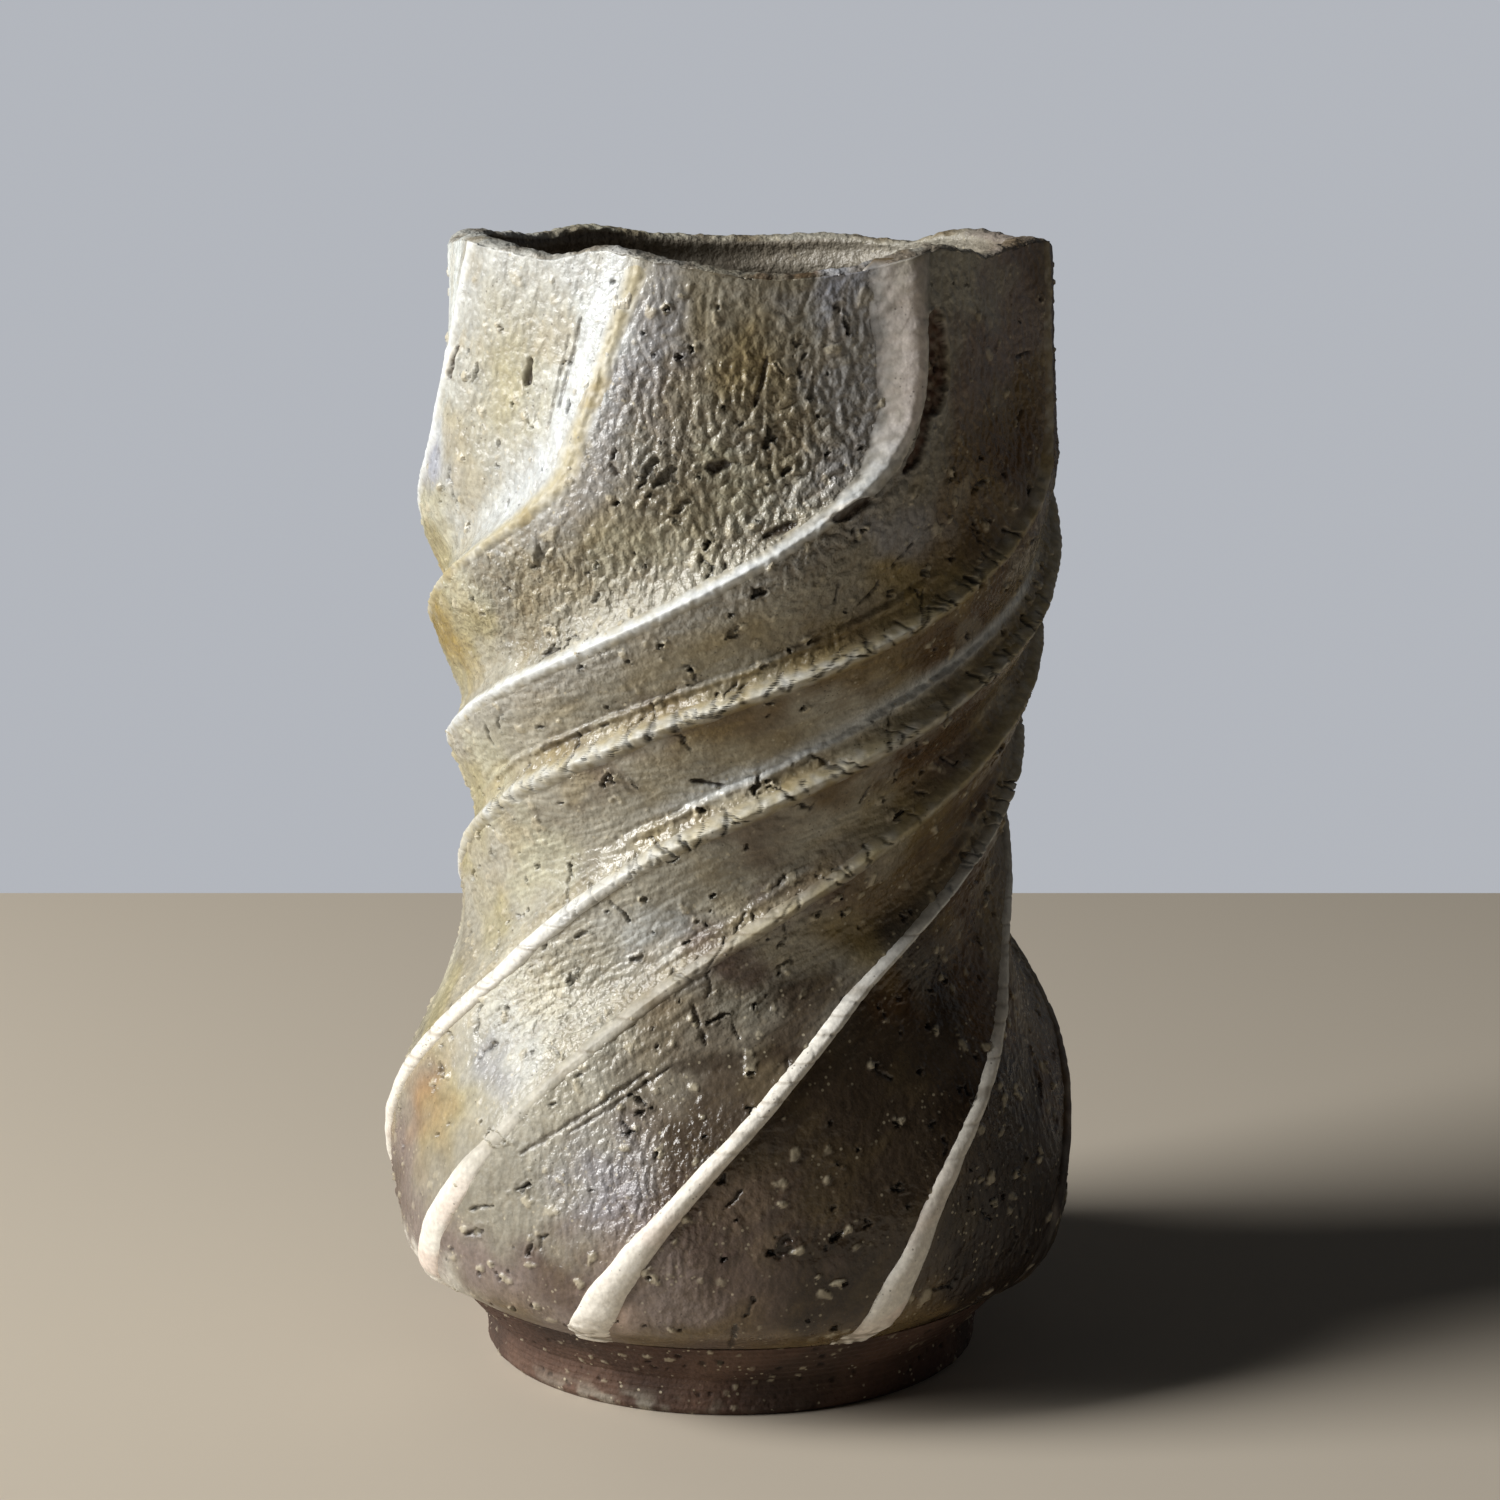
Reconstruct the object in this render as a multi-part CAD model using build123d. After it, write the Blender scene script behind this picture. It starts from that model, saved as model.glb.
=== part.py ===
from build123d import *
import math
import os

# Wood-fired stoneware vase: a thrown pot whose wall is fluted and then twisted.
#
# Frame: millimetres, +Z up. The origin is the centre of the foot on the surface that the vase
# stands on. Angles are in degrees, 0 at the front (-Y) and growing towards +X.

# Driving dimensions
HEIGHT = 202.0
FOOT_RADIUS = 45.0
FOOT_HEIGHT = 7.0
FOOT_WIDTH = 9.0
FOOT_EDGE = 0.8
FLOOR_GAP = 2.0
FLOOR_TOP = 12.0
TRIM_HEIGHT = 15.0
TRIM_RADIUS = 52.4
LEAN = 3.0

# Outlines as (height, value): the crests' radius, how far the flutes sink below the crests, how
# far each flute's valley is pushed towards the next crest (1 is the middle), and the cavity.
CREST_RADIUS = [
    (7, 45.0), (15, 52.6), (20, 59.8), (27, 62.6), (35, 63.3), (46, 62.3), (57, 59.6), (67, 55.4),
    (77, 51.0), (88, 49.6), (100, 50.0), (113, 51.6), (128, 53.8), (145, 56.6), (158, 57.0),
    (175, 55.6), (190, 54.6), (202, 54.0),
]
FLUTE_DEPTH = [
    (7, 0.0), (15, 0.4), (30, 1.4), (60, 2.0), (90, 2.6), (120, 3.2), (155, 3.6), (185, 3.0), (202, 2.4),
]
FLUTE_SKEW = [(7, 1.0), (50, 1.0), (90, 1.7), (150, 1.9), (202, 1.4)]
CAVITY_RADIUS = [
    (12, 36.0), (17, 48.0), (24, 54.0), (36, 56.2), (50, 54.4), (64, 49.0), (78, 43.4), (92, 41.6),
    (110, 43.0), (130, 45.6), (150, 48.2), (175, 47.8), (202, 47.0),
]

# Path of each crest: its angle at these heights.
PATH_HEIGHTS = (7, 45, 75, 100, 120, 140, 160, 175, 202)
CREST_PATHS = (
    (54, 76, 110, 150, 198, 243, 280, 290, 301),
    (92, 117, 150, 190, 236, 286, 324, 332, 342),
    (144, 170, 202, 243, 294, 342, 377, 389, 389),
    (194, 220, 250, 293, 339, 393, 426, 431, 432),
    (246, 276, 306, 344, 392, 438, 466, 476, 488),
    (290, 314, 343, 388, 429, 468, 502, 512, 525),
    (328, 353, 383, 426, 470, 512, 546, 556, 569),
    (380, 396, 427, 465, 512, 556, 590, 600, 612),
)

# White slip strips: width across the strip by height, how far it stands out, how deep it is bedded.
SLIP_WIDTH = [(15, 8.4), (30, 6.4), (56, 4.0), (80, 2.8), (110, 2.4), (150, 3.0), (202, 3.6)]
SLIP_RELIEF = 0.7
SLIP_BED = 1.8
SHOULDER = 0.55

# Dips of the wavy rim: angle, depth below the highest point, half width along the rim.
RIM_DIPS = (
    (-40, 2.6, 13), (4, 5.4, 29), (51, 2.8, 13), (95, 3.2, 20), (141, 3.8, 15), (178, 3.2, 20),
    (228, 2.2, 18), (262, 1.8, 12),
)

# Where the round bars that cut the rim's dips begin, measured out from the axis, and their length.
CUTTER_START = 20
CUTTER_LENGTH = 60

# How finely the wall is divided: sections up the wall, points up the cavity, places along a flute.
SECTIONS = 44
CAVITY_POINTS = 30
FLUTE_STATIONS = (0, 0.15, 0.4, 0.65, 0.85, 1)


def smooth(points, at):
    """Value at a place on the smooth curve through the points."""
    slopes = []
    for index in range(len(points)):
        before = points[max(index - 1, 0)]
        after = points[min(index + 1, len(points) - 1)]
        slopes.append((after[1] - before[1]) / (after[0] - before[0]))
    at = min(max(at, points[0][0]), points[-1][0])
    index = next(i for i in range(len(points) - 1) if at <= points[i + 1][0])
    (x0, y0), (x1, y1) = points[index], points[index + 1]
    span = x1 - x0
    u = (at - x0) / span
    rise = (1 + 2 * u) * (1 - u) ** 2 * y0 + u * u * (3 - 2 * u) * y1
    return rise + span * (u * (1 - u) ** 2 * slopes[index] - u * u * (1 - u) * slopes[index + 1])


def crest_angle(crest, height):
    return smooth(list(zip(PATH_HEIGHTS, CREST_PATHS[crest])), height)


def crest_angle_beside(crest, height, step):
    """Angle of the crest on one side of this one (step 1 is right, -1 is left)."""
    beside = crest + step
    turns = beside // len(CREST_PATHS)
    return crest_angle(beside % len(CREST_PATHS), height) + 360 * turns


def flute_radius(fraction, height):
    """Radius of the wall at a fraction of the way from one crest to the next."""
    sink = math.sin(math.pi * fraction ** smooth(FLUTE_SKEW, height))
    return smooth(CREST_RADIUS, height) - smooth(FLUTE_DEPTH, height) * sink


def radius_beside(crest, offset, height):
    """Radius of the wall at an angle from a crest, positive to its right."""
    step = 1 if offset > 0 else -1
    gap = abs(crest_angle_beside(crest, height, step) - crest_angle(crest, height))
    fraction = abs(offset) / gap
    return flute_radius(fraction if step > 0 else 1 - fraction, height)


def place(radius, angle, height):
    """Point at a radius and an angle about the leaning axis."""
    lean = LEAN * (height / HEIGHT) ** 1.5
    turn = math.radians(angle)
    return Vector(lean + radius * math.sin(turn), -radius * math.cos(turn), height)


def section_heights():
    step = (HEIGHT - TRIM_HEIGHT) / SECTIONS
    return [TRIM_HEIGHT + step * index for index in range(SECTIONS + 1)]


def slip_half_angle(crest, height):
    """Half of a slip strip's width, seen as an angle, allowing for how steeply the crest climbs."""
    radius = smooth(CREST_RADIUS, height)
    turn = math.radians(crest_angle(crest, height + 1) - crest_angle(crest, height - 1)) / 2
    return math.degrees(smooth(SLIP_WIDTH, height) / 2 / radius) * math.hypot(1, turn * radius)


def bed_points(crest, height):
    """Left lip, bottom and right lip of the bed that a slip strip lies in."""
    middle = crest_angle(crest, height)
    half = slip_half_angle(crest, height)
    left = place(radius_beside(crest, -half, height), middle - half, height)
    bottom = place(smooth(CREST_RADIUS, height) - SLIP_BED, middle, height)
    right = place(radius_beside(crest, half, height), middle + half, height)
    return left, bottom, right


def wall_section(height):
    """Closed outline of the fluted wall at one height: a bed and a flute for each crest."""
    edges = []
    for crest in range(len(CREST_PATHS)):
        left, bottom, right = bed_points(crest, height)
        edges.append(Edge.make_line(left, bottom))
        edges.append(Edge.make_line(bottom, right))
        start = crest_angle(crest, height) + slip_half_angle(crest, height)
        beside = (crest + 1) % len(CREST_PATHS)
        end = crest_angle_beside(crest, height, 1) - slip_half_angle(beside, height)
        points = []
        for station in FLUTE_STATIONS:
            angle = start + (end - start) * station
            offset = angle - crest_angle(crest, height)
            points.append(place(radius_beside(crest, offset, height), angle, height))
        edges.append(Edge.make_spline(points))
    return Wire(edges)


def revolved(outline):
    """Solid of revolution about Z from a closed outline of (radius, height) points."""
    face = make_face(Plane.XZ * Polyline(*outline, close=True))
    return revolve(face, Axis.Z)


def rim_cutters():
    """Round bars across the rim that leave its dips."""
    cutters = []
    for angle, depth, half_width in RIM_DIPS:
        radius = (half_width ** 2 + depth ** 2) / (2 * depth)
        height = HEIGHT - depth + radius
        outward = place(1, angle, 0) - place(0, angle, 0)
        plane = Plane(origin=outward * CUTTER_START + Vector(0, 0, height), z_dir=outward)
        cutters.append(Solid.make_cylinder(radius, CUTTER_LENGTH, plane))
    return cutters


def make_cavity():
    """The smooth thrown inside of the pot, open through the rim."""
    step = (HEIGHT - FLOOR_TOP) / CAVITY_POINTS
    heights = [FLOOR_TOP + step * index for index in range(CAVITY_POINTS + 1)]
    side = [(smooth(CAVITY_RADIUS, height), height) for height in heights]
    above = HEIGHT + FOOT_HEIGHT
    edges = Spline(*side) + Polyline(side[-1], (side[-1][0], above), (0, above), (0, FLOOR_TOP), side[0])
    return revolve(make_face(Plane.XZ * edges), Axis.Z)


def make_turned_foot():
    """Collar and undercut cone of bare clay, trimmed on the wheel."""
    inner = FOOT_RADIUS - FOOT_WIDTH
    return revolved([
        (inner, 0), (FOOT_RADIUS - FOOT_EDGE, 0), (FOOT_RADIUS, FOOT_EDGE), (FOOT_RADIUS, FOOT_HEIGHT),
        (TRIM_RADIUS, TRIM_HEIGHT), (smooth(CAVITY_RADIUS, TRIM_HEIGHT), TRIM_HEIGHT), (inner, FLOOR_TOP),
    ])


def make_floor_disc():
    """Floor of the pot, inside the collar."""
    radius = FOOT_RADIUS - FOOT_WIDTH
    return revolved([(0, FLOOR_GAP), (radius, FLOOR_GAP), (radius, FLOOR_TOP), (0, FLOOR_TOP)])


def make_fluted_wall():
    """Twisted wall with a bed for every slip strip, hollow and open at the wavy rim."""
    body = Solid.make_loft([wall_section(height) for height in section_heights()], ruled=True)
    body = body - make_cavity()
    for cutter in rim_cutters():
        body = body - cutter
    return body


def make_slip_strip(crest):
    """White strip along one crest, from the trimmed cone to the rim."""
    sections = []
    for height in section_heights():
        left, bottom, right = bed_points(crest, height)
        middle = crest_angle(crest, height)
        half = slip_half_angle(crest, height)
        top = smooth(CREST_RADIUS, height) + SLIP_RELIEF
        shoulders = [place(top, middle + side * half, height) for side in (-SHOULDER, SHOULDER)]
        sections.append(Wire.make_polygon([left, *shoulders, right, bottom]))
    strip = Solid.make_loft(sections, ruled=True)
    for cutter in rim_cutters():
        strip = strip - cutter
    return strip


def save(name, shape):
    shape.label = name
    export_step(shape, f"parts/{name}.step")


os.makedirs("parts", exist_ok=True)
save("turned_foot", make_turned_foot())
save("floor_disc", make_floor_disc())
save("fluted_wall", make_fluted_wall())
for crest in range(len(CREST_PATHS)):
    save(f"slip_ridge_{crest + 1}", make_slip_strip(crest))
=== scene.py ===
import math

import bpy
import numpy as np
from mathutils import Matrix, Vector


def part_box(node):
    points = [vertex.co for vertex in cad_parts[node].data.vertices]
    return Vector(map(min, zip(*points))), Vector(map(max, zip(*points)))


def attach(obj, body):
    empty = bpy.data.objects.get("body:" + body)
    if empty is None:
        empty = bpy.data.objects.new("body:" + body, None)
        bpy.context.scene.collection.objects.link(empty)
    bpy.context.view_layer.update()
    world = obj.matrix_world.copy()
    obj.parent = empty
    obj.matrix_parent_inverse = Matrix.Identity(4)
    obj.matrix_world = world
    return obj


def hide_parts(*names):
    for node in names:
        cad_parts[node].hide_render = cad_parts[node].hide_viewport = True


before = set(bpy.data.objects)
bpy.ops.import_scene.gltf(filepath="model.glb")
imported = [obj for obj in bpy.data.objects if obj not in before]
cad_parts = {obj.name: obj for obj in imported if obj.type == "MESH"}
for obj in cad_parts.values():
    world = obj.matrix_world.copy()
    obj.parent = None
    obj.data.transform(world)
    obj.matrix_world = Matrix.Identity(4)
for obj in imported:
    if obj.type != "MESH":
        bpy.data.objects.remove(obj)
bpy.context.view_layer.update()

# Lengths below are in millimetres and angles in degrees, 0 at the front (-Y), growing towards +X.
# MM turns them into the frame's metres.
MM = 0.001
FOOT_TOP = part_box("turned_foot")[1]
TRIM_HEIGHT = FOOT_TOP[2] / MM
TRIM_RADIUS = FOOT_TOP[0] / MM
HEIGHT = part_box("fluted_wall")[1][2] / MM
FLOOR_LOW, FLOOR_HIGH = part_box("floor_disc")
FLOOR_RADIUS = FLOOR_HIGH[0] / MM
FLOOR_TOP = FLOOR_HIGH[2] / MM
FLOOR_GAP = FLOOR_LOW[2] / MM
FOOT_RADIUS = 45.0
FOOT_HEIGHT = 7.0
FOOT_EDGE = 0.9
LEAN = 3.0

# How finely the wall is divided, and the size of one cell up its outside.
OUTER_ROWS = 620
COLUMNS = 1080
LIP_ROWS = 14
INNER_ROWS = 110
FLOOR_ROWS = 60
FLOOR_COLUMNS = 180
CELL = (HEIGHT - TRIM_HEIGHT) / OUTER_ROWS

# Radius that an end cap takes on the texture map.
CAP_UV = 0.002

# Slip beads: step along them, points across them, how deep they are bedded.
BEAD_STEP = 0.28
BEAD_COLUMNS = 19
BEAD_BED = 1.7

# The two crests that end high on the front: a white smear beside the left one, and a wide fold of
# slip draped over the right one.
LEFT_CREST = 1
DRAPED_CREST = 2

# How many marks are scattered over the wall and the foot.
PITS = 900
CRACKS = 170
GRAINS = 1100
FOOT_MARKS = 260

# The camera, in metres and degrees.
CAMERA_PLACE = (0.0035, -0.620, 0.226)
CAMERA_DOWN = 10.64
CAMERA_LENS = 83.8

# ---------------------------------------------------------------- the pot's form, as in the CAD
CREST_RADIUS = [
    (7, 45.0), (15, 52.6), (20, 59.8), (27, 62.6), (35, 63.3), (46, 62.3), (57, 59.6), (67, 55.4),
    (77, 51.0), (88, 49.6), (100, 50.0), (113, 51.6), (128, 53.8), (145, 56.6), (158, 57.0),
    (175, 55.6), (190, 54.6), (202, 54.0),
]
FLUTE_DEPTH = [
    (7, 0.0), (15, 0.4), (30, 1.4), (60, 2.0), (90, 2.6), (120, 3.2), (155, 3.6), (185, 3.0), (202, 2.4),
]
FLUTE_SKEW = [(7, 1.0), (50, 1.0), (90, 1.7), (150, 1.9), (202, 1.4)]
CAVITY_RADIUS = [
    (12, 36.0), (17, 48.0), (24, 54.0), (36, 56.2), (50, 54.4), (64, 49.0), (78, 43.4), (92, 41.6),
    (110, 43.0), (130, 45.6), (150, 48.2), (175, 47.8), (202, 47.0),
]
PATH_HEIGHTS = (7, 45, 75, 100, 120, 140, 160, 175, 202)
CREST_PATHS = (
    (54, 76, 110, 150, 198, 243, 280, 290, 301),
    (92, 117, 150, 190, 236, 286, 324, 332, 342),
    (144, 170, 202, 243, 294, 342, 377, 389, 389),
    (194, 220, 250, 293, 339, 393, 426, 431, 432),
    (246, 276, 306, 344, 392, 438, 466, 476, 488),
    (290, 314, 343, 388, 429, 468, 502, 512, 525),
    (328, 353, 383, 426, 470, 512, 546, 556, 569),
    (380, 396, 427, 465, 512, 556, 590, 600, 612),
)
CRESTS = len(CREST_PATHS)

# The rim as torn and cut: angle and height.
RIM = [
    (-64, 201.7), (-50, 200.4), (-39, 199.2), (-27, 200.9), (-14, 199.0), (3, 196.6), (20, 197.6),
    (36, 200.9), (44, 200.2), (51, 199.0), (60, 200.2), (69, 201.3), (84, 199.4), (98, 198.8),
    (112, 200.2), (131, 200.5), (142, 198.2), (160, 199.3), (178, 198.8), (200, 199.4), (216, 201.1),
    (230, 200.0), (244, 200.6), (256, 201.4), (268, 200.0), (284, 201.0),
]

# ---------------------------------------------------------------- how the kiln coloured it, with some painted highlight and shade
PALETTE = {
    "frost": (216, 221, 219), "cream": (202, 199, 183), "pale": (184, 181, 160), "straw": (166, 158, 126),
    "ochre": (156, 136, 84), "olive": (126, 111, 73), "grey": (148, 143, 129), "stone": (169, 165, 151),
    "umber": (112, 94, 64), "brown": (88, 66, 42), "dark": (52, 40, 29), "earth": (76, 65, 53),
    "char": (35, 23, 15), "bruise": (98, 83, 74), "plum": (130, 117, 110), "rust": (156, 112, 64),
    "silver": (188, 190, 187), "slate": (148, 147, 148), "lilac": (170, 174, 186), "taupe": (124, 113, 98),
    # pit darkens holes and cracks: their own dark clay, made darker still as painted shade for the shadow
    # inside them.
    "pit": (20, 14, 10), "grain": (204, 194, 168), "slip": (236, 231, 220), "cool_slip": (214, 219, 221),
    # This dark brown serves as real soot and as painted shade at the tears' edges and on the shaded side of
    # the inside.
    "pink_slip": (224, 200, 186), "bare": (78, 56, 45), "bare_light": (104, 80, 66), "soot_and_shade": (44, 34, 27),
    "crust": (186, 174, 136), "torn": (98, 72, 56),
}
MAP_ANGLES = (-75, -60, -45, -30, -15, 0, 15, 30, 45, 60, 75, 110, 145, 180, 215, 250)
KILN_MAP = (
    (18, "stone stone umber plum umber bruise umber umber dark char dark brown dark dark brown plum"),
    (27, "bruise plum plum bruise plum bruise dark earth char char dark dark brown dark plum bruise"),
    (40, "plum grey grey grey plum bruise earth earth char char dark brown dark dark umber ochre"),
    (55, "grey straw stone stone taupe earth earth earth dark char brown dark brown umber ochre straw"),
    (65, "straw stone silver stone grey earth earth earth earth brown umber brown umber olive straw cream"),
    (75, "grey stone cream stone taupe grey earth brown dark brown umber umber brown olive pale cream"),
    (85, "stone straw stone stone silver bruise stone olive dark brown umber brown umber grey stone pale"),
    (95, "straw stone pale grey stone stone bruise umber umber brown umber umber olive grey pale straw"),
    (105, "straw pale grey stone grey taupe stone olive brown brown umber umber brown olive stone pale"),
    (115, "stone pale stone taupe stone stone umber brown brown umber umber umber brown grey stone cream"),
    (125, "straw stone stone grey taupe umber stone stone brown umber umber olive umber grey straw pale"),
    (135, "ochre straw grey stone stone grey umber umber brown umber umber umber olive stone pale straw"),
    (145, "straw pale grey stone stone stone grey ochre brown umber olive brown umber olive straw straw"),
    (155, "pale silver silver grey pale grey grey slate umber plum olive umber brown grey pale cream"),
    (165, "lilac silver silver grey grey pale grey grey umber brown brown umber olive grey stone pale"),
    (175, "frost silver pale silver taupe stone stone stone plum umber brown olive umber grey straw pale"),
    (185, "frost silver silver frost slate grey silver stone plum plum brown umber taupe grey stone silver"),
    (196, "frost silver silver silver stone grey lilac stone stone plum brown plum grey stone pale silver"),
)
# Smaller patches: angle, height, half width in degrees, half height, colour, how strong.
GLAZE_AND_HIGHLIGHT_PATCHES = (
    (3, 182, 10, 12, "olive", 0.7), (20, 183, 7, 12, "slate", 0.8), (10, 170, 10, 5, "slate", 0.4),
    (-16, 180, 5, 12, "slate", 0.6), (-14, 158, 14, 8, "olive", 0.45), (-49, 180, 11, 15, "straw", 0.7),
    # The lilac patch at -18 degrees and 46 mm is a painted highlight: the window's bluish glints on glossy
    # glaze.
    (-62, 168, 8, 12, "straw", 0.5), (-18, 46, 8, 9, "lilac", 0.45), (-68, 52, 9, 8, "rust", 0.6),
    (-60, 45, 8, 6, "ochre", 0.3), (-63, 34, 10, 6, "plum", 0.8), (-44, 70, 13, 10, "cream", 0.6),
    (-48, 61, 5, 3, "slate", 0.8), (2, 20, 18, 4, "umber", 0.6), (-24, 22, 4, 3, "pink_slip", 0.7),
    (-66, 21, 10, 3, "slip", 0.7), (-14, 66, 12, 5, "taupe", 0.6), (16, 78, 10, 6, "earth", 0.5),
    (30, 146, 12, 4, "olive", 0.7), (-3, 139, 9, 4, "ochre", 0.5), (45, 170, 12, 12, "umber", 0.5),
    (205, 150, 22, 14, "slate", 0.5), (160, 60, 18, 10, "rust", 0.45), (235, 52, 16, 9, "ochre", 0.6),
    (120, 180, 16, 10, "slate", 0.4), (185, 90, 16, 8, "lilac", 0.4), (250, 30, 14, 6, "plum", 0.7),
)

# Painted light and shade around the inside: soot colour on the left, where the inside faces away from the
# window, and paler stone on the right, where it faces the window. Colour, angle, half width in degrees, how
# strong.
INSIDE_LIGHT_AND_SHADE = (("soot_and_shade", 250, 45, 0.6), ("grey", 185, 38, 0.6), ("stone", 135, 26, 0.8))

# Each slip strip from foot to rim: height, half width, thickness, and how white it shows. Three of
# them start alike.
LOW_STRIP = [
    (15, 3.8, 0.9, 1.0), (27, 3.3, 1.0, 1.0), (45, 2.1, 1.0, 1.0), (62, 1.6, 0.9, 0.95), (80, 1.4, 0.8, 0.8),
]
SLIP_STRIPS = (
    [(15, 3.0, 0.4, 0.0), (45, 2.2, 0.5, 0.0), (70, 1.9, 0.5, 0.0), (90, 1.8, 0.6, 0.2),
     (110, 1.8, 0.6, 0.3), (150, 2.4, 0.6, 0.8), (175, 2.6, 0.6, 0.9), (202, 2.4, 0.4, 0.9)],
    LOW_STRIP + [(125, 1.8, 0.6, 0.3), (150, 2.0, 0.45, 0.2), (165, 2.8, 0.2, 0.1), (202, 2.8, 0.15, 0.1)],
    LOW_STRIP + [(105, 1.9, 0.5, 0.6), (120, 1.9, 0.6, 0.95), (148, 1.8, 0.6, 0.9), (158, 1.9, 0.5, 0.8),
                 (167, 3.2, 1.0, 0.9), (180, 5.2, 1.7, 1.0), (192, 6.2, 1.5, 0.85), (202, 6.2, 0.5, 0.35)],
    LOW_STRIP + [(98, 2.2, 0.8, 0.4), (112, 2.3, 1.0, 0.5), (130, 2.2, 0.9, 0.35), (150, 1.8, 0.6, 0.1),
                 (202, 1.5, 0.4, 0.1)],
    [(15, 3.4, 0.9, 0.95), (40, 2.5, 0.9, 0.95), (62, 2.3, 0.9, 0.95), (80, 1.9, 0.8, 0.9),
     (95, 1.6, 0.7, 0.6), (106, 2.1, 0.8, 0.35), (130, 2.0, 0.7, 0.3), (202, 1.5, 0.4, 0.2)],
    [(15, 3.9, 0.9, 0.95), (28, 3.8, 0.9, 0.95), (40, 3.0, 0.7, 0.85), (50, 2.2, 0.4, 0.3),
     (62, 1.8, 0.3, 0.05), (90, 1.8, 0.5, 0.1), (202, 1.5, 0.4, 0.3)],
    [(15, 3.9, 0.9, 1.0), (24, 3.4, 1.0, 1.0), (35, 2.7, 1.1, 1.0), (46, 1.9, 1.1, 1.0), (73, 1.3, 0.9, 0.95),
     (92, 1.2, 0.8, 0.8), (104, 1.5, 0.6, 0.4), (202, 1.7, 0.4, 0.4)],
    [(15, 3.6, 0.9, 1.0), (27, 3.0, 1.0, 1.0), (40, 2.2, 1.0, 1.0), (52, 1.7, 1.0, 1.0),
     (66, 1.35, 0.9, 0.95), (80, 1.15, 0.8, 0.8), (95, 1.4, 0.6, 0.4), (202, 1.7, 0.4, 0.4)],
)

# Cracked terraces on the left of a crest: crest, lowest and highest point, width, strength.
TERRACES = (
    (3, 103, 150, 4.7, 1.0), (4, 97, 138, 4.2, 0.9), (5, 72, 104, 3.6, 0.6), (7, 104, 152, 4.6, 1.0),
    (0, 60, 104, 4.4, 0.8), (6, 120, 160, 4.0, 0.7), (4, 58, 101, 3.4, 0.5), (6, 88, 116, 2.8, 0.6),
    (6, 58, 74, 1.2, 0.4),
)
# Places where the slip pulled away from the bare clay: crest, distance to the right, lowest and
# highest point, half width, depth.
TEARS = (
    (2, 5.0, 174, 191.5, 2.3, 1.4), (2, 4.0, 165, 178, 0.9, 1.0), (2, 1.3, 157.5, 161.5, 1.2, 0.7),
    (0, 3.0, 178, 184, 0.8, 0.9), (6, 2.4, 160, 170, 0.9, 0.7),
)
# Single scores in the glaze: from angle, height to angle, height; half width, depth, how dark.
SCORES = (
    (-36, 49, -15, 64.5, 0.35, 0.35, 0.6), (-29, 52.5, -11, 65.5, 0.35, 0.35, 0.6),
    (-11, 65.5, 14, 68, 1.2, 0.2, 0.6), (0, 15.5, 1, 22, 0.4, 0.6, 0.9), (-8, 76, -5, 69, 0.35, 0.5, 0.8),
    (-35, 175, -31, 190, 0.35, 0.4, 0.4), (-38, 170, -34, 187, 0.3, 0.35, 0.4),
    (-44, 178.5, -43, 183, 0.7, 1.0, 0.9), (-9, 113.5, -2, 112.5, 0.3, 0.8, 0.9),
    (-42, 116.5, -26, 122.4, 0.6, 0.5, 0.55), (2, 176, 4, 184, 0.35, 0.7, 0.8),
    (-6, 166, -2, 167, 0.8, 0.9, 0.9), (4, 155, 9, 157, 0.6, 0.8, 0.9), (-23, 167, -21, 165, 0.6, 0.7, 0.9),
    (172, 150, 196, 163, 0.4, 0.4, 0.6), (140, 64, 168, 70, 0.9, 0.2, 0.5),
    (226, 44, 238, 58, 0.35, 0.4, 0.6), (205, 112, 212, 113, 0.5, 0.8, 0.9),
)
# Patches by angle and height, with half widths in degrees and millimetres: where the glaze runs
# glassy, and where it wrinkles most.
GLASSY = (
    (0, 168, 26, 24), (-50, 138, 22, 14), (-16, 46, 16, 16), (-30, 108, 34, 10), (25, 35, 26, 22),
    (150, 160, 40, 30), (215, 60, 40, 20), (32, 60, 34, 34), (60, 150, 30, 40),
)
WRINKLED = (
    (2, 164, 24, 22), (-30, 147, 26, 8), (-45, 140, 22, 12), (-38, 72, 20, 12), (-16, 46, 14, 12),
    (160, 150, 50, 30), (230, 90, 40, 30), (120, 60, 30, 20),
)


def linear(name):
    """A palette colour as linear light."""
    values = np.array(PALETTE[name]) / 255
    return np.where(values < 0.04045, values / 12.92, ((values + 0.055) / 1.055) ** 2.4)


def curve(points, at):
    """Smooth curve through (place, value) points."""
    x, y = np.array(points, float).T
    slopes = np.gradient(y)
    slopes[1:-1] = (y[2:] - y[:-2]) / (x[2:] - x[:-2])
    slopes[0], slopes[-1] = (y[1] - y[0]) / (x[1] - x[0]), (y[-1] - y[-2]) / (x[-1] - x[-2])
    at = np.clip(at, x[0], x[-1])
    i = np.clip(np.searchsorted(x, at, side="right") - 1, 0, len(x) - 2)
    span = x[i + 1] - x[i]
    u = (at - x[i]) / span
    rise = (1 + 2 * u) * (1 - u) ** 2 * y[i] + u * u * (3 - 2 * u) * y[i + 1]
    return rise + span * (u * (1 - u) ** 2 * slopes[i] - u * u * (1 - u) * slopes[i + 1])


def fade(low, high, value):
    """0 below low, 1 above high, smooth in between."""
    u = np.clip((value - low) / (high - low), 0, 1)
    return u * u * (3 - 2 * u)


def hump(value, middle, half_width):
    """1 at the middle, falling smoothly to 0 about two half widths away."""
    return np.exp(-((value - middle) / half_width) ** 2)


def turned(angle, middle):
    """Angle from a middle one, the shorter way round."""
    return (angle - middle + 180) % 360 - 180


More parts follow.
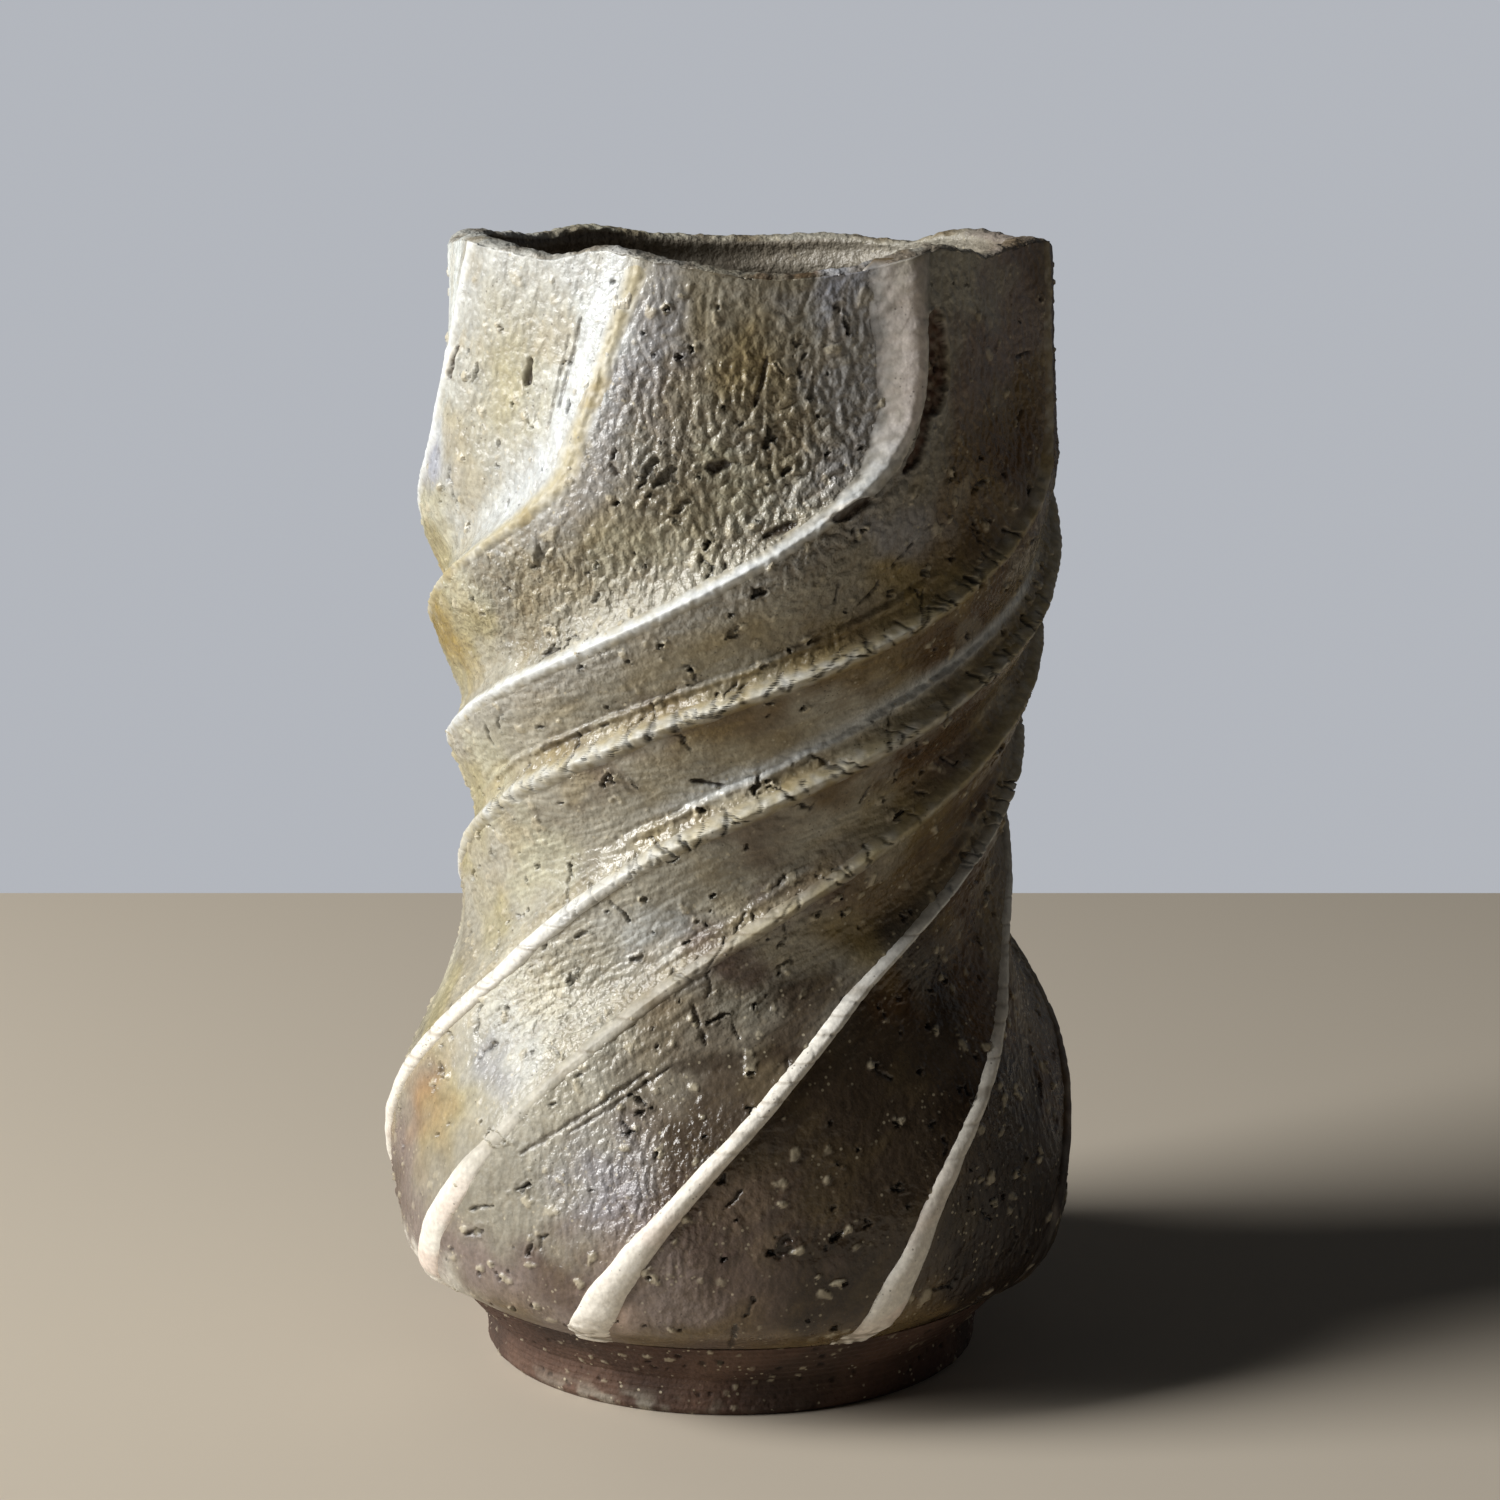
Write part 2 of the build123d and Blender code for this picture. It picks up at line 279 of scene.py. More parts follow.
def patches(angle, height, places):
    """1 in the middle of each patch, fading out around it."""
    total = np.zeros(np.broadcast(angle, height).shape)
    for middle, level, wide, tall in places:
        away = turned(angle, middle)
        total = np.maximum(total, np.exp(-(away / wide) ** 2 - ((height - level) / tall) ** 2))
    return total


def mix(base, colour, amount):
    """The base colour, or the other one where amount is 1. The other one may be a palette name."""
    colour = linear(colour) if isinstance(colour, str) else colour
    amount = np.clip(amount, 0, 1)[..., None]
    return base * (1 - amount) + colour * amount


def plain(name, points):
    """One palette colour for every point."""
    return np.broadcast_to(linear(name), points.shape)


def noise(points, size, seed):
    """Gradient noise from about -1 to 1 whose features measure size."""
    rng = np.random.default_rng(seed)
    order = np.tile(rng.permutation(256), 2)
    slopes = rng.normal(size=(256, 3))
    slopes = (slopes / np.linalg.norm(slopes, axis=1)[:, None]).astype(np.float32)
    scaled = points / size
    cell = np.floor(scaled)
    x, y, z = np.moveaxis((scaled - cell).astype(np.float32), -1, 0)
    i, j, k = np.moveaxis(cell.astype(np.int64) & 255, -1, 0)
    fade_x, fade_y, fade_z = [u ** 3 * (u * (u * 6 - 15) + 10) for u in (x, y, z)]

    def corner(row, right, up, high):
        slope = slopes[order[row + k + high]]
        return slope[..., 0] * (x - right) + slope[..., 1] * (y - up) + slope[..., 2] * (z - high)

    def edge(column, right, up):
        row = order[column + j + up]
        low = corner(row, right, up, 0)
        return low + fade_z * (corner(row, right, up, 1) - low)

    def side(right):
        column = order[i + right]
        near = edge(column, right, 0)
        return near + fade_y * (edge(column, right, 1) - near)

    left = side(0)
    return (left + fade_x * (side(1) - left)) * 1.7


def ridged(points, size, seed):
    """Noise folded into sharp little ridges, from -1 to 1."""
    return 1 - 2 * np.abs(noise(points, size, seed))


def mottle(colour, points, amount, size, seed):
    """The colour, a little lighter and darker in patches of a size."""
    return colour * (1 + amount * noise(points, size, seed))[..., None]


def crest_angle(crest, height):
    """Angle of a crest at a height. Crest CRESTS is crest 0, one turn further on."""
    turns = crest // CRESTS
    return curve(list(zip(PATH_HEIGHTS, CREST_PATHS[crest % CRESTS])), height) + 360 * turns


def crest_climb(height):
    """How many millimetres the crests run sideways for each millimetre that they climb."""
    turn = crest_angle(DRAPED_CREST, height + 1) - crest_angle(DRAPED_CREST, height - 1)
    return np.radians(turn) / 2 * curve(CREST_RADIUS, height)


class Flow:
    """Where points of the wall lie among the crests."""

    def __init__(self, angle, height):
        first = crest_angle(0, height)
        ahead = (angle - first) % 360
        self.flute = np.zeros(ahead.shape, int)
        start = np.zeros(ahead.shape)
        end = np.full(ahead.shape, 360.0)
        for crest in range(1, CRESTS + 1):
            ridge = crest_angle(crest, height) - first
            past = ahead >= ridge
            self.flute += past
            start = np.where(past, ridge, start)
            end = np.where(~past & (end > ridge), ridge, end)
        self.flute = np.minimum(self.flute, CRESTS - 1)
        self.fraction = np.clip((ahead - start) / (end - start), 0, 1)
        across = np.radians(end - start) * curve(CREST_RADIUS, height) / np.hypot(1, crest_climb(height))
        self.from_left = self.fraction * across
        self.from_right = (1 - self.fraction) * across
        self.height = height
        self.angle = angle

    def beside(self, crest):
        """Signed distance from one crest, positive to its right."""
        right = np.where(self.flute == crest, self.from_left, 1e3)
        return np.where(self.flute == (crest - 1) % CRESTS, -self.from_right, right)


def wall_radius(flow):
    """Radius of the fluted wall, with no small detail."""
    sink = np.sin(math.pi * flow.fraction ** curve(FLUTE_SKEW, flow.height))
    return curve(CREST_RADIUS, flow.height) - curve(FLUTE_DEPTH, flow.height) * sink


def place(radius, angle, height):
    """Points in millimetres from radius, angle and height about the leaning axis. The angle may be
    one row, for rings of points."""
    turn = np.radians(angle)
    lean = LEAN * (np.clip(height, 0, None) / HEIGHT) ** 1.5
    return np.stack([lean + radius * np.sin(turn), -radius * np.cos(turn), height + 0 * turn], -1)


def rim_height(angle):
    """Height of the torn rim at an angle."""
    points = [(a - 360, h) for a, h in RIM[-3:]] + RIM + [(a + 360, h) for a, h in RIM[:3]]
    start = RIM[0][0]
    return curve(points, (angle - start) % 360 + start)


def along_run():
    """Heights up a crest and the length along it to each of them."""
    height = np.linspace(TRIM_HEIGHT, HEIGHT, 2000)
    steps = np.diff(height) * np.hypot(1, crest_climb(height[1:]))
    return height, np.concatenate([[0], np.cumsum(steps)])


def along_crests(flow, stretch):
    """Coordinates for streaks: across the flute, along it, and which flute."""
    along = np.interp(flow.height, *along_run())
    return np.stack([flow.from_left, along / stretch, flow.flute * 37.0], -1)


def kiln_colour(angle, height):
    """The glaze colour that the kiln map gives, blended between its places."""
    heights = [row[0] for row in KILN_MAP]
    table = np.array([[linear(name) for name in row[1].split()] for row in KILN_MAP])
    around = np.array([*MAP_ANGLES, MAP_ANGLES[0] + 360])
    turn = (angle - around[0]) % 360 + around[0]
    left = np.clip(np.searchsorted(around, turn, side="right") - 1, 0, len(MAP_ANGLES) - 1)
    right = (left + 1) % len(MAP_ANGLES)
    sideways = fade(0.1, 0.9, (turn - around[left]) / (around[left + 1] - around[left]))[..., None]
    row = np.interp(height, heights, range(len(heights)))
    low = np.clip(np.floor(row).astype(int), 0, len(heights) - 2)
    upwards = fade(0.1, 0.9, row - low)[..., None]
    below = table[low, left] * (1 - sideways) + table[low, right] * sideways
    above = table[low + 1, left] * (1 - sideways) + table[low + 1, right] * sideways
    return below * (1 - upwards) + above * upwards


def terrace_shown(low, high, amount, height):
    """How strongly a terrace shows at a height, fading out towards its ends."""
    return amount * fade(low, low + 8, height) * fade(high, high - 8, height)


def glaze(points, flow):
    """Ash glaze colour of the wall before pits and grains."""
    height = flow.height
    near_angle = flow.angle + 8 * noise(points, 16, 11) + 5 * noise(points, 6, 12)
    near_height = height + 5 * noise(points, 14, 13) + 3 * noise(points, 5, 14)
    colour = kiln_colour(near_angle, near_height)
    for *patch, name, amount in GLAZE_AND_HIGHLIGHT_PATCHES:
        colour = mix(colour, name, amount * patches(near_angle, near_height, [patch]))
    streak = noise(along_crests(flow, 11), 1.7, 15)
    ochre = fade(0.15, 0.55, noise(points, 11, 16) + 0.25 * streak)
    ash = fade(60, 100, height)
    colour = mix(colour, "ochre", 0.28 * ochre * (0.3 + 0.7 * ash))
    film = fade(0.2, 0.55, noise(points, 12, 17) + 0.2 * noise(points, 3, 18))
    colour = mix(colour, "stone", 0.4 * film * ash)
    blotch = 0.7 + 0.5 * noise(points, 5, 35)
    for crest, low, high, width, amount in TERRACES:
        shown = terrace_shown(low, high, amount, height)
        left = -flow.beside(crest)
        band = fade(width + 0.6, width - 0.6, left) * fade(0.6, 1.6, left)
        colour = mix(colour, "ochre", 0.6 * band * shown * blotch)
    ledge_light = np.exp(-flow.from_right / 2.2) * fade(55, 85, height)
    colour = mix(colour, "cream", 0.35 * ledge_light)
    beside_left = flow.beside(LEFT_CREST)
    high_up = fade(146, 164, height)
    colour = mix(colour, "slate", 0.75 * hump(beside_left, 5.0, 3.2) * high_up)
    streaked = 0.8 + 0.3 * noise(along_crests(flow, 11), 2.4, 36)
    colour = mix(colour, "cool_slip", 0.95 * hump(beside_left, -4.6, 3.6) * high_up * streaked)
    beside_right = flow.beside(DRAPED_CREST)
    before_fold = hump(beside_right, -5.5, 3.4) * fade(152, 166, height)
    after_fold = hump(beside_right, 3.0, 3.0) * fade(105, 125, height)
    colour = mix(colour, "slate", 0.7 * before_fold)
    colour = mix(colour, "slate", 0.35 * after_fold)
    blue = hump(flow.beside(4), -5.2, 1.5) * fade(104, 114, height)
    blue = blue * fade(150, 140, height)
    colour = mix(colour, "cool_slip", 0.8 * blue)
    uneven = 1 + 0.15 * noise(points, 3.2, 19) + 0.10 * streak + 0.10 * noise(points, 1.3, 20)
    return colour * uneven[..., None]


def cross_cracks(crest, height, distance, jitter):
    """Short cracks across a crest and its terrace, at a height and a distance to the crest's right."""
    rng = np.random.default_rng(200 + crest)
    field = np.zeros(height.shape)
    climb = crest_climb(height)
    levels, lengths = along_run()
    run = np.interp(height + distance * climb / np.hypot(1, climb), levels, lengths)
    for number, low, high, width, amount in TERRACES:
        if number != crest:
            continue
        at, end = np.interp((low, high), levels, lengths)
        while at < end:
            at += 0.7 + rng.exponential(4.4 - 2.6 * amount)
            left = width + rng.uniform(-1, 1.5) if rng.random() < 0.15 else rng.uniform(0.6, 2.2)
            right = rng.uniform(0.2, 1.4)
            slant, half = rng.normal(0, 0.8), rng.uniform(0.2, 0.42)
            line = fade(1.25 * half, 0.5 * half, np.abs(run - slant * distance - 0.7 * jitter - at))
            shown = fade(-left - 0.5, -left, distance) * fade(right + 0.5, right, distance)
            field = np.maximum(field, rng.uniform(0.5, 1) * min(amount + 0.3, 1) * line * shown)
    return field


def tears(points, flow):
    """Where the slip is torn open, and the lips around the tears."""
    torn, lips = np.zeros(flow.height.shape), np.zeros(flow.height.shape)
    wander, ragged = 0.6 * noise(points, 5, 32), 0.4 * noise(points, 1.9, 37)
    for crest, distance, low, high, half, depth in TEARS:
        near = np.abs(flow.beside(crest) - distance - wander) + ragged
        middle, reach = (low + high) / 2, (high - low) / 2
        taper = np.sqrt(np.clip(1 - ((flow.height - middle) / reach) ** 4, 0, 1))
        width = half * taper
        torn = np.maximum(torn, depth * fade(width + 0.12, width - 0.3, near) * (width > 0.1))
        lips = np.maximum(lips, hump(near, width + 0.55, 0.45) * (width > 0.3))
    return torn, lips


def scores(points, angle, height):
    """Depth and darkness of the single scores in the glaze."""
    depth, dark = np.zeros(angle.shape), np.zeros(angle.shape)
    ragged = 0.5 * noise(points, 3, 72) + 0.25 * noise(points, 1.1, 73)
    for angle_0, height_0, angle_1, height_1, half, deep, strength in SCORES:
        scale = math.radians(float(curve(CREST_RADIUS, height_0)))
        x = turned(angle, angle_0) * scale
        y = height - height_0
        run, climb = (angle_1 - angle_0) * scale, height_1 - height_0
        length = math.hypot(run, climb)
        along = np.clip((x * run + y * climb) / length ** 2, 0, 1)
        away = np.hypot(x - along * run, y - along * climb) + ragged * (0.4 + half)
        width = half * np.sqrt(np.clip(1.1 - (2 * along - 1) ** 4, 0.1, 1))
        line = fade(1.6 * width, 0.4 * width, away)
        depth = np.maximum(depth, deep * line)
        dark = np.maximum(dark, strength * line)
    return depth, dark


def wall_relief(points, flow):
    """How far the glaze stands off the plain fluted form before pits and grains, how wrinkled it is,
    and how deep its creases are, which the colour darkens as painted shade."""
    angle, height = flow.angle, flow.height
    wild = fade(0.0, 0.5, noise(points, 24, 23))
    wrinkled = 0.06 + 0.16 * fade(62, 80, height) + 0.16 * wild
    wrinkled = wrinkled + 0.8 * patches(angle + 8 * noise(points, 9, 38), height, WRINKLED)
    wrinkled = np.clip(wrinkled, 0, 1)
    relief = 0.42 * noise(points, 27, 24) + 0.24 * noise(points, 9, 25)
    lumps = 2.1 * np.abs(noise(points * (1, 1, 0.7), 1.75, 26)) ** 0.75 - 0.75
    drawn = 1.6 * np.abs(noise(points * (1, 1, 0.35), 1.5, 39)) ** 0.75 - 0.6
    lumps = lumps + (drawn - lumps) * fade(66, 50, height)
    clear = fade(0.3, 2.5, np.minimum(flow.from_left, flow.from_right))
    lined = 1.9 * np.abs(noise(along_crests(flow, 2.6), 1.5, 74)) ** 0.75 - 0.7
    waist = clear * fade(58, 70, height) * fade(150, 125, height)
    lumps = lumps + (lined - lumps) * waist
    beside_left = flow.beside(LEFT_CREST)
    calm = 1 - 0.75 * hump(beside_left, -4.6, 3.2) * fade(146, 164, height)
    bumps = calm * (0.06 + 0.36 * wrinkled) * lumps
    relief += bumps + calm * (0.06 + 0.16 * wrinkled) * noise(points, 1.3, 27)
    relief += 0.10 * noise(along_crests(flow, 11), 1.4, 22) * clear * fade(55, 90, height)
    relief -= 0.6 * hump(beside_left, 0.5, 2.6) * fade(150, 166, height)
    wander = 0.5 * noise(points, 8, 28) + 0.2 * noise(points, 2, 29)
    broken = 0.45 + 0.55 * fade(-0.3, 0.2, noise(points, 3.5, 40))
    crumbled = 0.22 * ridged(points, 1.9, 30)
    for crest, low, high, width, amount in TERRACES:
        shown = terrace_shown(low, high, amount, height)
        left = wander - flow.beside(crest)
        relief += shown * (0.38 * hump(left, width, 0.5) - 0.5 * broken * hump(left, width + 1.0, 0.4))
        relief -= shown * 0.22 * fade(width, width - 1, left) * fade(1.0, 2.4, left)
        crumbs = shown * fade(width + 1.5, width, left) * fade(-0.5, 0.5, left)
        relief += crumbs * crumbled
    torn, lips = tears(points, flow)
    relief += 0.35 * lips - torn * (1.0 - 0.25 * noise(points, 1.5, 41))
    return relief, wrinkled, fade(-0.1, -0.55, lumps) * (0.3 + 0.7 * wrinkled)


def stamp(shape, spots, warp):
    """Field of soft-edged ellipses: row, column, radii in cells (long, short), tilt, amount."""
    field = np.zeros(shape)
    for row, column, long, short, tilt, amount in spots:
        reach = int(1.5 * long) + 2
        rows = np.arange(max(int(row) - reach, 0), min(int(row) + reach + 1, shape[0]))
        columns = np.arange(int(column) - reach, int(column) + reach + 1)
        if not len(rows):
            continue
        up, side = np.meshgrid(rows - row, columns - column, indexing="ij")
        window = np.ix_(rows, columns % shape[1])
        a = side * math.cos(tilt) + up * math.sin(tilt)
        b = up * math.cos(tilt) - side * math.sin(tilt)
        distance = np.hypot(a / long, b / short) * (1 + 0.7 * warp[window])
        value = amount * fade(1.15, 0.8, distance)
        field[window] = np.maximum(field[window], value)
    return field


def somewhere(rng, above_foot, below_rim):
    """A random column and height on the outer wall, clear of its edges."""
    return rng.uniform(0, COLUMNS), rng.uniform(TRIM_HEIGHT + above_foot, HEIGHT - below_rim)


def scatter_pits(rng, count):
    """Burst bubbles and torn holes: small clusters of marks, drawn out along the crests."""
    spots = []
    for _ in range(count):
        column, height = somewhere(rng, 2, 4)
        size = min(0.23 * math.exp(rng.normal(0, 0.6)), 0.85) / CELL
        slope = math.atan2(1, float(crest_climb(height)))
        depth = rng.uniform(0.5, 1.0)
        for _ in range(rng.choice((1, 1, 2, 3))):
            tilt = slope + rng.normal(0, 0.6)
            row = row_of(height) + rng.normal(0, 0.8) * size
            across = column + rng.normal(0, 0.8) * size
            thin = max(size * rng.uniform(0.5, 0.9), 0.8)
            spots.append((row, across, max(size * rng.uniform(1.2, 3.0), 1.0), thin, tilt, depth))
    return spots


def swell(spots, amount):
    """The same marks, larger."""
    return [
        (row, column, long * amount, short * amount, tilt, depth)
        for row, column, long, short, tilt, depth in spots
    ]


def grains_beside(rng, holes):
    """Loose grains that lie at the edge of some of the holes."""
    spots = []
    for row, column, long, short, tilt, _ in holes[::6]:
        level = row + rng.normal(0, 1) * long
        across = column + rng.choice((-1, 1)) * (long + short)
        spots.append((level, across, 0.8 / CELL, 0.6 / CELL, tilt, 1.0))
    return spots


def scatter_grains(rng, count):
    """Feldspar grains that stand out of the clay."""
    spots = []
    for _ in range(count):
        column, height = somewhere(rng, 1, 3)
        size = min(0.45 * math.exp(rng.normal(0, 0.4)), 1.5) / CELL
        long, tilt, amount = size * rng.uniform(1.1, 1.7), rng.uniform(0, 3.14), rng.uniform(0.35, 1.0)
        spots.append((row_of(height), column, long, size, tilt, amount))
    return spots


def scatter_cracks(rng, count):
    """Short jagged cracks: chains of narrow marks that wander, some of them crossing in a star."""
    spots = []
    for _ in range(count):
        column, height = somewhere(rng, 3, 6)
        for _ in range(3 if rng.random() < 0.1 else 1):
            tilt = math.atan2(1, float(crest_climb(height))) + rng.normal(0.9, 0.7)
            row, across = row_of(height), column
            for _ in range(rng.integers(3, 7)):
                tilt += rng.normal(0, 0.5)
                length = rng.uniform(0.5, 0.9) / CELL
                spots.append((row, across, length, 0.24 / CELL, tilt, rng.uniform(0.5, 1)))
                row += math.sin(tilt) * length * 1.2
                across += math.cos(tilt) * length * 1.2
    return spots


def row_of(height):
    """Row of the outer wall at a height."""
    return (height - TRIM_HEIGHT) / CELL


def paint_tears(colour, points, torn):
    """Bare clay where the slip is torn open, with painted shade along the tear's edge."""
    colour = mix(colour, "torn", torn * (0.8 + 0.5 * noise(points, 1.2, 42)))
    # Painted shade: a dark line along the tear's edge.
    return mix(colour, "soot_and_shade", 3 * torn * (1 - torn))


def outer_wall():
    """Outside of the fluted wall: points, colour, shine, and how rough its fine texture is."""
    rng = np.random.default_rng(7)
    angle = np.tile(np.arange(COLUMNS) * 360 / COLUMNS, (OUTER_ROWS, 1))
    rise = np.linspace(0, 1, OUTER_ROWS)[:, None]
    height = TRIM_HEIGHT + (rim_height(angle) - TRIM_HEIGHT) * rise
    flow = Flow(angle, height)
    radius = wall_radius(flow)
    points = place(radius, angle, height)
    warp = noise(points, 1.2, 21)

    holes = scatter_pits(rng, PITS)
    pits = stamp(angle.shape, holes, warp)
    lips = stamp(angle.shape, swell(holes, 1.7), warp)
    cracks = stamp(angle.shape, scatter_cracks(rng, CRACKS), warp)
    beside_holes = grains_beside(rng, holes)
    grains = stamp(angle.shape, scatter_grains(rng, GRAINS) + beside_holes, warp)
    for crest in sorted({row[0] for row in TERRACES}):
        distance = flow.beside(crest)
        near = np.abs(distance) < 9
        crossing = cross_cracks(crest, height[near], distance[near], warp[near])
        cracks[near] = np.maximum(cracks[near], crossing)

    relief, wrinkled, creases = wall_relief(points, flow)
    torn = np.clip(tears(points, flow)[0], 0, 1)
    scored, darkened = scores(points, angle, height)
    relief += (0.35 * lips + 0.4 * grains) * (1 - pits) - 1.0 * pits - 0.7 * cracks - scored
    edge = fade(0, 0.03, rise) * (0.5 + 0.5 * fade(1, 0.985, rise))
    radius = radius + relief * (0.2 + 0.8 * edge)

    colour = glaze(points, flow)
    # Painted shade: umber darkening in the creases between the lumps.
    colour = mix(colour, "umber", 0.4 * creases)
    colour = paint_tears(colour, points, torn)
    colour = mix(colour, "grain", 0.6 * grains)
    colour = mix(colour, "dark", darkened)
    # Pits and cracks in dark clay colour, with painted shade for the shadow inside them.
    colour = mix(colour, "pit", 0.88 * pits + 0.8 * cracks)
    shine = 0.35 + 0.3 * fade(-0.1, 0.5, noise(points, 19, 43)) + 0.6 * patches(angle, height, GLASSY)
    shine = shine * (1 - torn)
    return place(radius, angle, height), colour, shine, wrinkled


def lip_and_inside():
    """The torn lip, the thrown inside with its grooves, and the underside at the trimmed foot."""
    angle = np.arange(COLUMNS) * 360 / COLUMNS
    rim = rim_height(angle)
    flow = Flow(angle, rim)
    outside = wall_radius(flow)
    inside = curve(CAVITY_RADIUS, rim) + 1.0
    turns = np.linspace(0, math.pi, LIP_ROWS + 2)[1:-1, None]
    middle, half = (outside + inside) / 2, (outside - inside) / 2
    edge = place(middle + half * np.cos(turns), angle, rim + 0 * turns)
    lift = 1.1 * np.sin(turns) ** 0.8 + 0.35 * noise(edge, 2.6, 41) + 0.25 * noise(edge, 1.2, 42)
    lip_radius = middle + half * np.cos(turns) + 0.25 * noise(edge, 2.0, 43)
    lip = place(lip_radius, angle, rim + lift - 0.3)
    drop = np.linspace(0, 1, INNER_ROWS)[:, None] ** 1.25
    height = rim - 0.4 - (rim - 0.4 - TRIM_HEIGHT) * drop
    radius = curve(CAVITY_RADIUS, height) + 1.0 * fade(24, 6, rim - height)
    wall = place(radius, angle, height)
    grooves = np.sin(2 * math.pi * (height / 4.6 + 0.35 * noise(wall, 40, 44) + angle / 360))
    radius = radius + 0.42 * grooves + 0.3 * noise(wall, 12, 45) + 0.16 * noise(wall, 2.2, 46)
    wall = place(radius, angle, height)

    points = np.concatenate([lip, wall])
    full_angle = np.broadcast_to(angle, points.shape[:2])
    tone = noise(points, 22, 47) + 0.4 * noise(points, 5, 48)
    colour = mix(plain("brown", points), "taupe", fade(-0.3, 0.4, tone))
    # Painted light and shade: darker on the side of the inside that faces away from the window, paler where
    # it faces it.
    for name, middle, half_width, amount in INSIDE_LIGHT_AND_SHADE:
        colour = mix(colour, name, amount * hump(turned(full_angle, middle), 0, half_width))
    below = np.clip((HEIGHT - points[..., 2]) / 90, 0, 1)
    colour = mix(colour, "bare", 0.75 * below)
    lip_colour = mix(glaze(lip, Flow(full_angle[:LIP_ROWS], lip[..., 2])), "grey", 0.35)
    lip_colour = mix(lip_colour, "umber", 0.5 * fade(0, 0.4, noise(lip, 6, 49)))
    front = hump(turned(full_angle[:LIP_ROWS], 12), 0, 34)
    lip_colour = mix(lip_colour, "brown", 0.75 * front * fade(-0.25, 0.25, noise(lip, 4, 76)))
    colour = np.concatenate([lip_colour, colour[LIP_ROWS:]])
    colour = mottle(colour, points, 0.15, 2.0, 50)
    shine = np.full(points.shape[:2], 0.2)
    rough = np.full(points.shape[:2], 0.7)
    return points, colour, shine, rough


def add_object(name, data):
    """New object in the scene."""
    made = bpy.data.objects.new(name, data)
    bpy.context.scene.collection.objects.link(made)
    return made


def build_mesh(name, points, colour, shine, rough, around=False, uv_rows=None):
    """Closed mesh from rings of points. around joins the last ring to the first; otherwise both
    end rings are capped. Colour, shine and rough are kept on the points for the material, and shine
    and rough may be one number for the whole piece."""
    rings, columns = points.shape[:2]
    last = rings if around else rings - 1
    i, j = np.meshgrid(np.arange(last), np.arange(columns), indexing="ij")
    up, over = (i + 1) % rings, (j + 1) % columns
    quads = np.stack([i * columns + j, i * columns + over, up * columns + over, up * columns + j], -1)
    quads = quads.reshape(-1, 4)
    flat = points.reshape(-1, 3)
    a, b, c, d = [flat[quads[:, k]] for k in range(4)]
    volume = (np.cross(b - a, c - a) * a).sum() + (np.cross(c - a, d - a) * a).sum()
    v = np.linspace(0, 1, last + 1) if uv_rows is None else uv_rows
    u_low, u_high = j / columns, (j + 1) / columns
    v_low, v_high = v[:-1][i], v[1:][i]
    across = np.stack([u_low, u_high, u_high, u_low], -1)
    upwards = np.stack([v_low, v_low, v_high, v_high], -1)
    uv = np.stack([across, upwards], -1).reshape(-1, 4, 2)
    if volume < 0:
        quads, uv = quads[:, ::-1], uv[:, ::-1]
    corners = [quads.ravel()]
    uvs = [uv.reshape(-1, 2)]
    sizes = [np.full(len(quads), 4)]
    if not around:
        for ring in (0, rings - 1):
            cap = ring * columns + np.arange(columns)
            if (ring == 0) == (volume > 0):
                cap = cap[::-1]
            corners.append(cap)
            turn = 2 * math.pi * np.arange(columns) / columns
            uvs.append(0.5 + CAP_UV * np.stack([np.cos(turn), np.sin(turn)], -1))
            sizes.append(np.array([columns]))
    corners, sizes = np.concatenate(corners), np.concatenate(sizes)
    mesh = bpy.data.meshes.new(name)
    mesh.vertices.add(len(flat))
    mesh.vertices.foreach_set("co", (flat * MM).astype(np.float32).ravel())
    mesh.loops.add(len(corners))
    mesh.loops.foreach_set("vertex_index", corners.astype(np.int32))
    mesh.polygons.add(len(sizes))
    mesh.polygons.foreach_set("loop_start", (np.cumsum(sizes) - sizes).astype(np.int32))
    mesh.polygons.foreach_set("use_smooth", np.ones(len(sizes), bool))
    layer = mesh.uv_layers.new(name="OFBake")
    layer.uv.foreach_set("vector", np.concatenate(uvs).astype(np.float32).ravel())
    tint = np.ones((len(flat), 4), np.float32)
    tint[:, :3] = np.clip(colour.reshape(-1, 3), 0.002, 0.95)
    mesh.attributes.new("glaze", "FLOAT_COLOR", "POINT").data.foreach_set("color", tint.ravel())
    for label, values in (("shine", shine), ("rough", rough)):
        layer = mesh.attributes.new(label, "FLOAT", "POINT")
        values = np.broadcast_to(np.clip(values, 0, 1), (rings, columns))
        layer.data.foreach_set("value", values.astype(np.float32).ravel())
    mesh.update(calc_edges=True)
    mesh.validate()
    return add_object(name, mesh)


def make_wall():
    """The whole fluted wall: outside, lip and inside in one closed skin."""
    parts = [outer_wall(), lip_and_inside()]
    points, colour, shine, rough = [np.concatenate(layers) for layers in zip(*parts)]
    lip_end = OUTER_ROWS + LIP_ROWS
    rows = len(points)
    v = np.concatenate([
        np.linspace(0, 0.60, OUTER_ROWS), np.linspace(0.602, 0.625, LIP_ROWS),
        np.linspace(0.63, 0.97, rows - lip_end), [0.99],
    ])
    return build_mesh("wall_skin", points, colour, shine, rough, around=True, uv_rows=v)


def strip_course(crest):
    """A slip strip's middle line: length along it, height, the rim's height over it, and the strip's
    half width, thickness and whiteness there."""
    levels, lengths = along_run()
    along = np.linspace(0, lengths[-1], int(lengths[-1] / BEAD_STEP))
    height = np.interp(along, lengths, levels)
    rim = rim_height(crest_angle(crest, height))
    height = TRIM_HEIGHT + (height - TRIM_HEIGHT) * (rim + 0.2 - TRIM_HEIGHT) / (HEIGHT - TRIM_HEIGHT)
    stations = np.array(SLIP_STRIPS[crest])
    half, thick, white = [curve(stations[:, [0, column]], height) for column in (1, 2, 3)]
    return along, height, rim, half, thick, white


